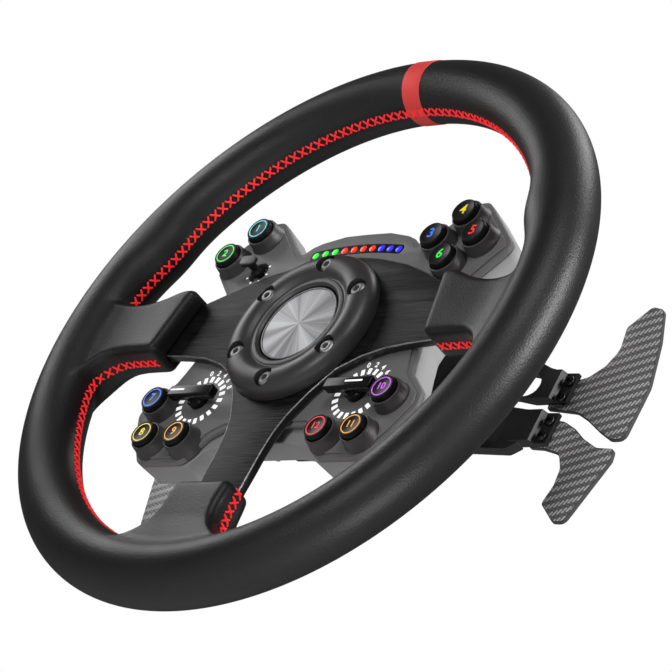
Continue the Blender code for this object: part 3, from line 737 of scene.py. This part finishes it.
def make_grip():
    step = 1.1
    reach = RIM_R + TUBE_R + 3
    points, quads = surface_mesh(leather_distance, (-reach, -TUBE_R - 3, -reach),
                                 (reach, TUBE_R + 4, reach), step)
    mesh = outward(mesh_from("grip", points, quads))
    grip = finish("leather_grip", mesh, BLACK_LEATHER, "wheel", ["grip_cover"],
                  sharp=70)


def make_band():
    """The red marker band, wrapped over the grip at 12 o'clock."""
    start, end, proud = -1.1, 3.7, 0.3  # degrees from 12 o'clock, and its height over the grip
    edge = [(start, -0.5), (start, proud * 0.4), (start + 0.08, proud * 0.85), (start + 0.22, proud),
            (end - 0.22, proud), (end - 0.08, proud * 0.85), (end, proud * 0.4), (end, -0.5)]
    points, count = [], 96
    for clock, height in edge:
        for i in range(count):
            turn = 2 * math.pi * i / count
            out = RIM_R + (TUBE_R + height) * math.cos(turn)
            points.append(rim_point(clock, out, (TUBE_R + height) * math.sin(turn)))
    mesh = outward(mesh_from("band", points, skin(len(edge), count, closed=True)))
    finish("red_band", mesh, RED_LEATHER, "wheel", ["top_band"])


# ---------------------------------------------------------------- stitching
PITCH, STITCH_HALF, THREAD_R = 5.1, 2.15, 0.52
STITCH_LEAN, STITCH_RISE = 0.36, 0.55          # share of the pitch it leans along, and its height
CROSSING = 0.12                                # how far the upper stitch of a pair clears the lower
STITCH_ARCH = (  # places along a stitch, and how high it stands there
    (-1.0, -0.75), (-0.86, 0.1), (-0.45, 0.5), (0, 0.62), (0.45, 0.5), (0.86, 0.1), (1.0, -0.75),
)


def smooth_path(points, step=0.5):
    """A smooth curve through the points, sampled finely."""
    points = np.array(points, float)
    ends = np.vstack([2 * points[0] - points[1], points, 2 * points[-1] - points[-2]])
    samples = []
    for a, b, c, d in zip(ends, ends[1:], ends[2:], ends[3:]):
        count = max(2, int(np.linalg.norm(c - b) / step))
        for t in np.arange(count) / count:
            samples.append(0.5 * (2 * b + (c - a) * t + (2 * a - 5 * b + 4 * c - d) * t ** 2
                                  + (3 * b - a - 3 * c + d) * t ** 3))
    samples.append(points[-1])
    return np.array(samples)


def seams():
    """Lines that the seam follows: over the top, and down each side to the bottom spoke."""
    over = []
    for clock in np.arange(-81.5, 81, 2.0):
        y = -2.5 * math.exp(-(clock / 55) ** 2)
        over.append(rim_point(clock, RIM_R - TUBE_R, y))
    lines = [over]
    for side in (-1, 1):
        line = [(94.5, 5, -14.6), (104, 5, -14.8), (112, 4.8, -15), (119, 4.4, -17.5), (124, 3.6, -22),
                (128, 2.2, -29)]
        line += [rim_point(clock, RIM_R - TUBE_R, 0.8) for clock in range(106, 160, 3)]
        line += [(39.5, 1.6, -127), (30, 2.2, -124.5), (23, 2.5, -119), (19.4, 2.6, -112),
                 (18.4, 2.6, -105), (18, 2.6, -98.6)]
        lines.append([(x * side, y, z) for x, y, z in line])
    return lines


def thread_tube(path, radius):
    """A thread along a path, closed at its ends."""
    points, sides = [], 6
    for i, here in enumerate(path):
        ahead = path[min(i + 1, len(path) - 1)] - path[max(i - 1, 0)]
        ahead = ahead / np.linalg.norm(ahead)
        u = np.cross(ahead, (0.3, 0.9, 0.2))
        u /= np.linalg.norm(u)
        v = np.cross(ahead, u)
        for k in range(sides):
            turn = 2 * math.pi * k / sides
            points.append(here + radius * (u * math.cos(turn) + v * math.sin(turn)))
    return points, skin(len(path), sides)


def make_stitches():
    """Crossed stitches of red thread, each arched over the seam and sunk at its ends."""
    points, faces = [], []
    for line in seams():
        path = onto(leather_distance, smooth_path(line), 4)
        steps = np.linalg.norm(np.diff(path, axis=0), axis=1)
        run = np.concatenate([[0], np.cumsum(steps)])
        stops = np.arange(PITCH / 2, run[-1], PITCH)
        centres = np.stack([np.interp(stops, run, path[:, k]) for k in range(3)], 1)
        ahead = np.stack([np.interp(stops + 1, run, path[:, k]) for k in range(3)], 1) - centres
        ahead /= np.linalg.norm(ahead, axis=1, keepdims=True)
        normal = slope_of(leather_distance, centres, 1.0)
        across = np.cross(normal, ahead)
        for i, centre in enumerate(centres):
            for hand in (-1, 1):
                flat = np.array([centre + across[i] * STITCH_HALF * s
                                 + ahead[i] * hand * PITCH * STITCH_LEAN * s for s, _ in STITCH_ARCH])
                flat = onto(leather_distance, flat, 3)
                rise = np.array([h for _, h in STITCH_ARCH])[:, None] * STITCH_RISE
                rise = rise + (CROSSING if hand > 0 else 0)
                lifted = flat + slope_of(leather_distance, flat, 0.6) * rise
                made, rings = thread_tube(lifted, THREAD_R)
                faces += [tuple(v + len(points) for v in ring) for ring in rings]
                points += made
    mesh = outward(mesh_from("stitches", points, faces))
    finish("stitching", mesh, THREAD, "wheel", sharp=80)


# ---------------------------------------------------------------- centre
def bolt_holes():
    return [circle(BOLT_HOLE, at, 20) for at in BOLTS.values()]


def make_plate():
    """The brushed plate: its face, its chamfer, made light as a painted highlight, and its painted edge
    have a material each.
    """
    outline = rounded(PLATE_HALF + mirrored(PLATE_HALF[1:]))
    mesh = flat_shape([outline, circle(PLATE_HOLE), *bolt_holes()], *PLATE_Y, 0.55)
    for polygon in mesh.polygons:
        facing = abs(polygon.normal.y)
        # index 1 is the chamfer, with its painted highlight
        polygon.material_index = 0 if facing > 0.97 else (2 if facing < 0.12 else 1)
    finish("spoke_plate", mesh, [BRUSHED, CHAMFER_PAINTED_HIGHLIGHT, EDGE_BLACK], "wheel",
           ["frame_plate"])


def hex_wave(apothem):
    """Makes the rings of a turned shape that are within a socket six-sided."""
    def wave(turn, radius, y):
        if radius > apothem * 1.16:
            return radius
        return apothem / math.cos((turn % (math.pi / 3)) - math.pi / 6) * radius / apothem
    return wave


def hex_screw(at, top, head_r, head_h, socket, shank_r, end):
    """A button-head screw with a hexagon socket, its head towards the driver."""
    profile = [(0, top + head_h * 0.62), (socket * 0.98, top + head_h * 0.6), (socket, top + 0.12),
               (socket * 1.13, top + 0.02), (head_r * 0.56, top), (head_r * 0.70, top + head_h * 0.07),
               (head_r * 0.84, top + head_h * 0.24), (head_r * 0.95, top + head_h * 0.5),
               (head_r, top + head_h * 0.8), (head_r * 0.985, top + head_h), (shank_r, top + head_h),
               (shank_r, end), (0, end)]
    return turn_profile(profile, at, 60, hex_wave(socket))


def make_centre():
    top = box_mm("centre_cover")[0].y
    outer = box_mm("centre_cover")[1].x
    curve = [(outer, 3.4, 0), (outer - 0.2, 1.6, 0), (42.5, -0.9, 0), (41.4, -2.7, 0), (39.9, -3.9, 0),
             (38.2, -4.7, 0), (36.4, -5.3, 0), (34.4, top, 0), (32.4, -5.4, 0), (30.6, -4.8, 0),
             (29.2, -3.9, 0), (28.2, -3.0, 0), (27.5, -2.5, 0), (26.8, -2.3, 0.3), (26.4, -2.7, 0.3),
             (24.4, -2.75, 0.4), (23.1, -1.7, 0.3), (22.9, 1.1, 0), (12, 1.1, 0), (12, 3.7, 0),
             (outer, 3.7, 0)]
    cover = turn_profile(soft_profile(curve), count=160)
    well = [(0, -9), (5.2, -9), (5.2, -1.2), (0, -1.2)]
    wells = [turn_profile(well, at, 48) for at in BOLTS.values()]
    shell = finish("centre_ring", cut_away(cover, *wells), COVER, "wheel",
                   ["centre_cover"], sharp=38)
    softened(shell, 0.22)

    radius = box_mm("centre_badge")[1].x
    face = box_mm("centre_badge")[0].y
    disc = turn_profile([(0, face), (21.2, face), (21.2, 0.8), (0, 0.8)], count=128)
    lip = [(21.1, face - 0.25, 0.2), (22.1, face - 0.25, 0.3), (radius, face + 0.6, 0.2),
           (radius, 0.8, 0), (21.1, 0.8, 0)]
    edge = turn_profile(soft_profile(lip), count=128)
    finish("badge_disc", merged(numbered(disc, 0), numbered(edge, 1)), [SPUN, RIM_METAL], "wheel",
           ["centre_badge"])
    for number, at in BOLTS.items():
        head = box_mm(f"cover_bolt_{number}")[0].y - 1.0
        screw = hex_screw(at, head, head_r=4.7, head_h=2.7, socket=1.5, shank_r=2.5, end=33)
        finish(f"cover_screw_{number}", screw, SCREW_STEEL, "wheel",
               [f"cover_bolt_{number}"])


# ---------------------------------------------------------------- control panel
WINDOW_LOW, WINDOW_HIGH, WINDOW_TURN, WINDOW_Z = 177.4, 182.2, 9.7, -124.8  # arcs' radii, half angle
WINDOW_MIDDLE = (WINDOW_LOW + WINDOW_HIGH) / 2
BUTTON_HOLE, DIAL_HOLE, MENU_HOLE, CENTRE_HOLE = 7.2, 3.6, 5.8, 24          # radii


def panel_corners(low):
    right, left = TOP_ARCH + RIGHT_TOP_POD + low, TOP_ARCH + LEFT_TOP_POD + low
    return right + mirrored(left[1:])


def window_outline(grow, steps=24):
    """The curved window: two arcs about a centre on x = 0, joined by round ends."""
    half = math.radians(WINDOW_TURN) - 1.5 / WINDOW_HIGH
    middle, thick = WINDOW_MIDDLE, (WINDOW_HIGH - WINDOW_LOW) / 2 + grow
    outline = []
    for side in (1, -1):
        for k in range(steps + 1):
            turn = side * (half * (2 * k / steps - 1))
            r = middle + side * thick
            outline.append((r * math.sin(turn), WINDOW_Z + r * math.cos(turn)))
        x, z = middle * math.sin(side * half), WINDOW_Z + middle * math.cos(half)
        for k in range(1, 8):
            turn = math.radians(90 - 180 * k / 8 if side > 0 else 270 - 180 * k / 8) - side * half
            outline.append((x + 0.9 * thick * math.cos(turn), z + thick * math.sin(turn)))
    return outline


def make_panel():
    """The panel, with a step round its edge, its buttons' collars, and its window and lights."""
    front, back = PANEL_Y
    holes = [circle(BUTTON_HOLE, at, 40) for at in BUTTONS.values()]
    holes += [circle(DIAL_HOLE, at, 24) for at in DIALS.values()]
    holes += [circle(MENU_HOLE, MENU, 32), circle(CENTRE_HOLE), *bolt_holes()]
    corners = panel_corners(BOTTOM_POD)
    raised = flat_shape([rounded(inset(corners, 2.3)), *holes, window_outline(0.3)],
                        front, front + 2.4, 0.4)
    base = flat_shape([rounded(corners), *holes], front + 1.1, back, 0.5)
    finish("control_panel", merged(raised, base), PANEL, "wheel", ["front_panel"])
    collar = [(BUTTON_HOLE, 12.4, 0), (BUTTON_HOLE, 3.2, 0), (7.45, 2.5, 0.2), (8.3, 2.5, 0.5),
              (8.55, 4.2, 0.4), (9.15, 7.9, 0), (9.7, front, 0), (9.7, 12.4, 0)]
    rings = [turn_profile(soft_profile(collar), at, 64) for at in BUTTONS.values()]
    finish("button_collars", merged(*rings), COLLAR, "wheel")

    window = flat_shape([window_outline(0.1)], front + 0.1, 10.4, 0.1)
    finish("light_window", window, GLASS, "wheel", ["led_window"])
    dome = [(0, front - 0.3), (1.0, front - 0.25), (1.85, front - 0.05), (2.2, front + 0.4),
            (0, front + 0.4)]
    kinds = {"green": (GREEN, range(3)), "red": ((0.95, 0.03, 0.01), range(3, 7)),
             "blue": ((0.03, 0.03, 0.95), range(7, 10))}
    for name, (colour, places) in kinds.items():
        lenses = []
        for k in places:
            turn = math.radians(-9.0 + 2.0 * k)
            at = (WINDOW_MIDDLE * math.sin(turn), WINDOW_Z + WINDOW_MIDDLE * math.cos(turn))
            lenses.append(turn_profile(dome, at, 28))
        finish(f"shift_lights_{name}", merged(*lenses), lamp(f"lens_{name}", colour, 0.9, 0.2),
               "wheel")


def make_housing():
    """The rear shell: the panel's outline drawn back, closed lower down and rounded at its back."""
    front, back = HOUSING_Y
    low = BOTTOM_POD[:-3] + [(44, -74.2, 5), (36, -64.5, 5), (16, -61.8, 8)]
    corners = panel_corners(low)
    rings = [(front, 0.4), (front + 0.4, 0), (back - 1.9, 0.9), (back - 1.0, 1.15),
             (back - 0.3, 1.7), (back, 2.6)]
    points = []
    for y, depth in rings:
        outline = rounded(inset(corners, depth), 6)
        points += [(x, y, z) for x, z in outline]
    mesh = outward(mesh_from("housing", points, skin(len(rings), len(outline))))
    finish("housing_shell", mesh, HOUSING, "wheel", ["rear_housing"])


# ---------------------------------------------------------------- buttons, dials and lever
def make_buttons():
    """Twelve caps, each on its stem, with its number and for most a ring round the number."""
    cap_r, stem_r = 6.85, 2.5
    for n, at in BUTTONS.items():
        top, end = (corner.y for corner in box_mm(f"button_{n}"))
        profile = soft_profile([
            (0, top + 0.12, 0), (5.75, top + 0.12, 0), (6.0, top, 0.15), (6.4, top, 0.3),
            (cap_r, top + 0.75, 0.4), (cap_r, 14.6, 0), (stem_r, 14.6, 0), (stem_r, end, 0), (0, end, 0),
        ])
        finish(f"cap_{n}", turn_profile(profile, at, 64), CAP, f"push_button_{n}",
               [f"button_{n}"])
        colour, ringed = MARKS[n]
        height = (4.3 if n < 10 else 3.8) if ringed else 5.6
        parts = [writing(str(n), at, height, top + 0.10, 0.06, 0.13)]
        if ringed:
            ring = [(4.85, top + 0.05), (5.45, top + 0.05), (5.45, top + 0.3), (4.85, top + 0.3)]
            parts.append(turn_profile(ring, at, 64))
        # the printed number and ring have a painted glow
        finish(f"mark_{n}", merged(*parts), lamp(f"mark_colour_painted_glow_{n}", colour, 0.6), f"push_button_{n}")


def ticks(at, angles, reach, half_x, half_z, corner):
    """Marks on the panel in a ring round a place, at angles in degrees."""
    marks = []
    for degrees in angles:
        mark = bar((0, reach), half_x, half_z, corner, PANEL_Y[0] - 0.06, PANEL_Y[0] + 0.3, 0.02)
        mark.transform(Matrix.Translation((at[0], 0, at[1]))
                       @ Matrix.Rotation(math.radians(degrees), 4, "Y"))
        marks.append(mark)
    return marks


def dial_marks(at):
    """Twenty marks round a dial, and a few plain numbers outside them."""
    marks = ticks(at, range(0, 360, 18), 13.2, 1.1, 1.75, 0.25)
    for k in range(5):
        turn = math.radians(-9 + 18 * k)
        spot = (at[0] + 17.0 * math.sin(turn), at[1] + 17.0 * math.cos(turn))
        marks.append(writing(str(2 * k), spot, 2.9, PANEL_Y[0] - 0.02, 0.04, 0.10, turn))
    return merged(*marks)


def make_dials():
    """Two bar knobs on round hubs, each with a painted pointer and the marks it turns past."""
    for name, at in DIALS.items():
        top, end = (corner.y for corner in box_mm(f"dial_knob_{name}"))
        handle = bar(at, 15, 3.2, 1.4, top, 4.6, 0.75)
        hub = soft_profile([(0, 3.6, 0), (4.4, 3.6, 0.3), (4.7, 5.0, 0.3), (5.6, 5.4, 0.4),
                            (5.6, 8.5, 0.2), (3.2, 8.5, 0), (3.2, end, 0), (0, end, 0)])
        finish(f"knob_{name}", merged(handle, turn_profile(hub, at, 48)), KNOB, f"dial_{name}",
               [f"dial_knob_{name}"])
        start, stop = (-13.6, -4.0) if name == "left" else (-1.6, 9.6)
        pointer = bar((at[0] + (start + stop) / 2, at[1] + 0.4), (stop - start) / 2, 0.5, 0.2,
                      top - 0.05, top + 0.2, 0.02)
        finish(f"pointer_{name}", pointer, WHITE_INK_PAINTED_GLOW, f"dial_{name}")
        finish(f"dial_marks_{name}", dial_marks(at), WHITE_INK_PAINTED_GLOW, "wheel")


def make_lever():
    """The tilting lever under its pale cap, and a few marks round it."""
    top, end = (corner.y for corner in box_mm("menu_lever"))
    stick = soft_profile([(0, 0.8, 0), (2.3, 0.8, 0.2), (1.9, 5.6, 0.6), (2.4, 6.4, 0.3),
                          (3.4, 7.0, 0.5), (3.9, 8.4, 0.4), (3.9, 9.2, 0.2), (1.8, 10, 0),
                          (1.8, end, 0), (0, end, 0)])
    under = bar(MENU, 4.6, 2.8, 1.6, top + 0.9, 1.6, 0.35)
    finish("lever_stick", merged(turn_profile(stick, MENU, 40), under), CAP, "menu_stick",
           ["menu_lever"])
    cap = bar(MENU, 4.5, 2.7, 1.5, top, top + 1.1, 0.3)
    finish("lever_cap", cap, PALE_CAP, "menu_stick")
    marks = ticks(MENU, (60, 105, 150, 195, 240), 6.9, 0.45, 0.6, 0.15)
    finish("lever_marks", merged(*marks), WHITE_INK_PAINTED_GLOW, "wheel")


# ---------------------------------------------------------------- paddles and quick release
def on_side(mesh, name):
    """A mesh made for the right, carried over to the left if that is its side."""
    if name == "left":
        mesh.transform(Matrix.Scale(-1, 4, (1, 0, 0)))
        mesh.flip_normals()
    return mesh


def make_paddles():
    """Carbon blades on both sides, whose edges are plain, and the two screws that hold each."""
    for name in ("left", "right"):
        for kind, corners in (("shift", SHIFT_BLADE), ("clutch", CLUTCH_BLADE)):
            body = f"{kind}_paddle_{name}"
            screws = {k: middle_of(f"{kind}_screw_right_{k}") for k in (1, 2)}
            holes = [circle(BLADE_HOLE, at, 20) for at in screws.values()]
            mesh = flat_shape([rounded(corners), *holes], *BLADE_Y, 0.5, 3)
            for polygon in mesh.polygons:
                polygon.material_index = 0 if abs(polygon.normal.y) > 0.99 else 1
            finish(f"{kind}_paddle_blade_{name}", on_side(mesh, name), [CARBON, CARBON_EDGE], body,
                   [f"{kind}_blade_{name}"])
            for k, at in screws.items():
                top = box_mm(f"{kind}_screw_right_{k}")[0].y
                mesh = hex_screw(at, top, head_r=2.8, head_h=1.5, socket=1.1, shank_r=1.5, end=79.4)
                finish(f"{kind}_blade_screw_{name}_{k}", on_side(mesh, name), DARK_STEEL, body,
                       [f"{kind}_screw_{name}_{k}"])


def make_quick_release():
    """The hub behind the wheel, with its socket, and the fluted collar that slides on it."""
    foot = box_mm("qr_hub")[0].y
    hub = soft_profile([
        (15, 60, 0), (15, REAR - 1.2, 0), (16.2, REAR, 0.2), (29.2, REAR, 0.5),
        (30, REAR - 0.8, 0.5), (30, 93.3, 0.3), (26, 93.3, 0), (26, 36.2, 1.5), (30, 34.2, 1.5),
        (42, 34.2, 0.8), (42, foot, 0.3), (0, foot, 0), (0, 60, 0),
    ])
    bore = [(0, 27), (BOLT_HOLE, 27), (BOLT_HOLE, 38), (0, 38)]
    bores = [turn_profile(bore, at, 24) for at in BOLTS.values()]
    mesh = cut_away(turn_profile(hub, count=128), *bores)
    finish("release_hub", mesh, HUB_BLACK, "wheel", ["qr_hub"])
    flutes, flute_depth = 72, 0.56

    def fluted(turn, radius, y):
        if radius < 31 or not 80.6 < y < 92.4:
            return radius
        return radius - flute_depth / 2 * (1 + math.cos(turn * flutes))

    ring = [(26.3, 80.2), (26.6, 80), (31.4, 80), (31.8, 80.4), (31.8, 81), (31.8, 83.6), (31, 84.4),
            (30.4, 85), (30.4, 88), (31, 88.6), (31.8, 89.4), (31.8, 92), (31.8, 92.6), (31.4, 93),
            (26.6, 93), (26.3, 92.8)]
    mesh = turn_profile(ring, count=flutes * 4, wave=fluted)
    finish("release_collar_ring", mesh, STEEL, "release_collar", ["qr_collar"])


def dress_nodes():
    """The model's own nodes that stay: softened edges and their materials."""
    kept = {"paddle_bracket": (ARM, 0.5), "rim_hoop": (STEEL, 0), "main_board": (BOARD, 0),
            "menu_switch": (CAP, 0.3), "menu_gimbal": (STEEL, 0.2)}
    for name in ("left", "right"):
        kept[f"dial_switch_{name}"] = (CAP, 0.3)
        kept[f"paddle_pin_{name}"] = (STEEL, 0.2)
        kept[f"shift_arm_{name}"] = (ARM, 0.45)
        kept[f"clutch_arm_{name}"] = (ARM, 0.45)
    for node, (material, width) in kept.items():
        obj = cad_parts[node]
        obj.data.materials.clear()
        obj.data.materials.append(material)
        if width:
            softened(obj, width)


# ---------------------------------------------------------------- studio
WHITE = (1, 1, 1, 1)
FLOOR_Z, FLOOR_HALF, FLOOR_GLOW = -1.25, 6.0, 0.15    # metres
CAMERA_AT = (1.17088, -0.96270, -0.78534)
CAMERA_TURN = (121.685, -24.827, 38.335)              # degrees
CAMERA_LENS, SENSOR = 185.8, 36.0                     # millimetres
ROOM_LIGHT = 0.09                                     # what the white room gives to all but the camera
LIGHTS = {  # direction from the rim, distance and size in metres, power in watts
    "key": ((-0.84, -0.34, 0.46), 0.52, (0.24, 0.24), 0.62),
    "top": ((0.10, 0.20, 0.97), 1.3, (0.7, 0.4), 5),
    "right": ((0.92, 0.10, 0.36), 1.2, (0.3, 0.8), 16),
    "front": ((0.12, -0.97, -0.22), 1.5, (0.35, 0.35), 4.0),
    "fill": ((0.44, -0.78, 0.46), 1.5, (0.5, 0.5), 5),
    "low": ((0.60, 0.0, -0.80), 1.5, (0.5, 0.5), 8),
}


def make_floor():
    a, b, z = -FLOOR_HALF, FLOOR_HALF, FLOOR_Z
    mesh = mesh_from("floor", [(a, a, z), (b, a, z), (b, b, z), (a, b, z)], [(0, 1, 2, 3)])
    floor = linked("floor", mesh)
    surface = moulded("pale_floor", (0.85, 0.85, 0.85), 0.7, 0.05)
    shader = surface.node_tree.nodes["Principled BSDF"]
    shader.inputs["Emission Color"].default_value = WHITE
    shader.inputs["Emission Strength"].default_value = FLOOR_GLOW
    mesh.materials.append(surface)


def soft_light(name, direction, distance, size, power):
    """A soft box, this far from the rim, facing it."""
    direction = Vector(direction).normalized()
    centre = Vector((0, HUB_Y, 0))
    data = bpy.data.lights.new(name, "AREA")
    data.shape, data.size, data.size_y, data.energy = "RECTANGLE", *size, power
    light = linked(name, data)
    light.location = centre + direction * distance
    light.rotation_euler = (-direction).to_track_quat("-Z", "Y").to_euler()


def make_studio():
    """A white room over a pale floor, soft lights and the camera."""
    make_floor()
    world = bpy.data.worlds.new("studio")
    world.use_nodes = True
    tree = world.node_tree
    seen, dim = tree.nodes["Background"], tree.nodes.new("ShaderNodeBackground")
    for node, strength in ((seen, 1.0), (dim, ROOM_LIGHT)):
        node.inputs["Color"].default_value = WHITE
        node.inputs["Strength"].default_value = strength
    path = tree.nodes.new("ShaderNodeLightPath")
    mix = tree.nodes.new("ShaderNodeMixShader")
    tree.links.new(path.outputs["Is Camera Ray"], mix.inputs[0])
    tree.links.new(dim.outputs[0], mix.inputs[1])
    tree.links.new(seen.outputs[0], mix.inputs[2])
    tree.links.new(mix.outputs[0], tree.nodes["World Output"].inputs["Surface"])
    bpy.context.scene.world = world
    for name, settings in LIGHTS.items():
        soft_light(name, *settings)
    camera = bpy.data.cameras.new("camera")
    camera.sensor_width, camera.lens = SENSOR, CAMERA_LENS
    camera.clip_end = 20
    holder = linked("camera", camera)
    holder.location = CAMERA_AT
    holder.rotation_euler = [math.radians(a) for a in CAMERA_TURN]
    bpy.context.scene.camera = holder


bpy.context.scene.view_settings.view_transform = "Standard"
make_studio()
make_grip()
make_band()
make_stitches()
make_plate()
make_centre()
make_panel()
make_housing()
make_buttons()
make_dials()
make_lever()
make_paddles()
make_quick_release()
dress_nodes()
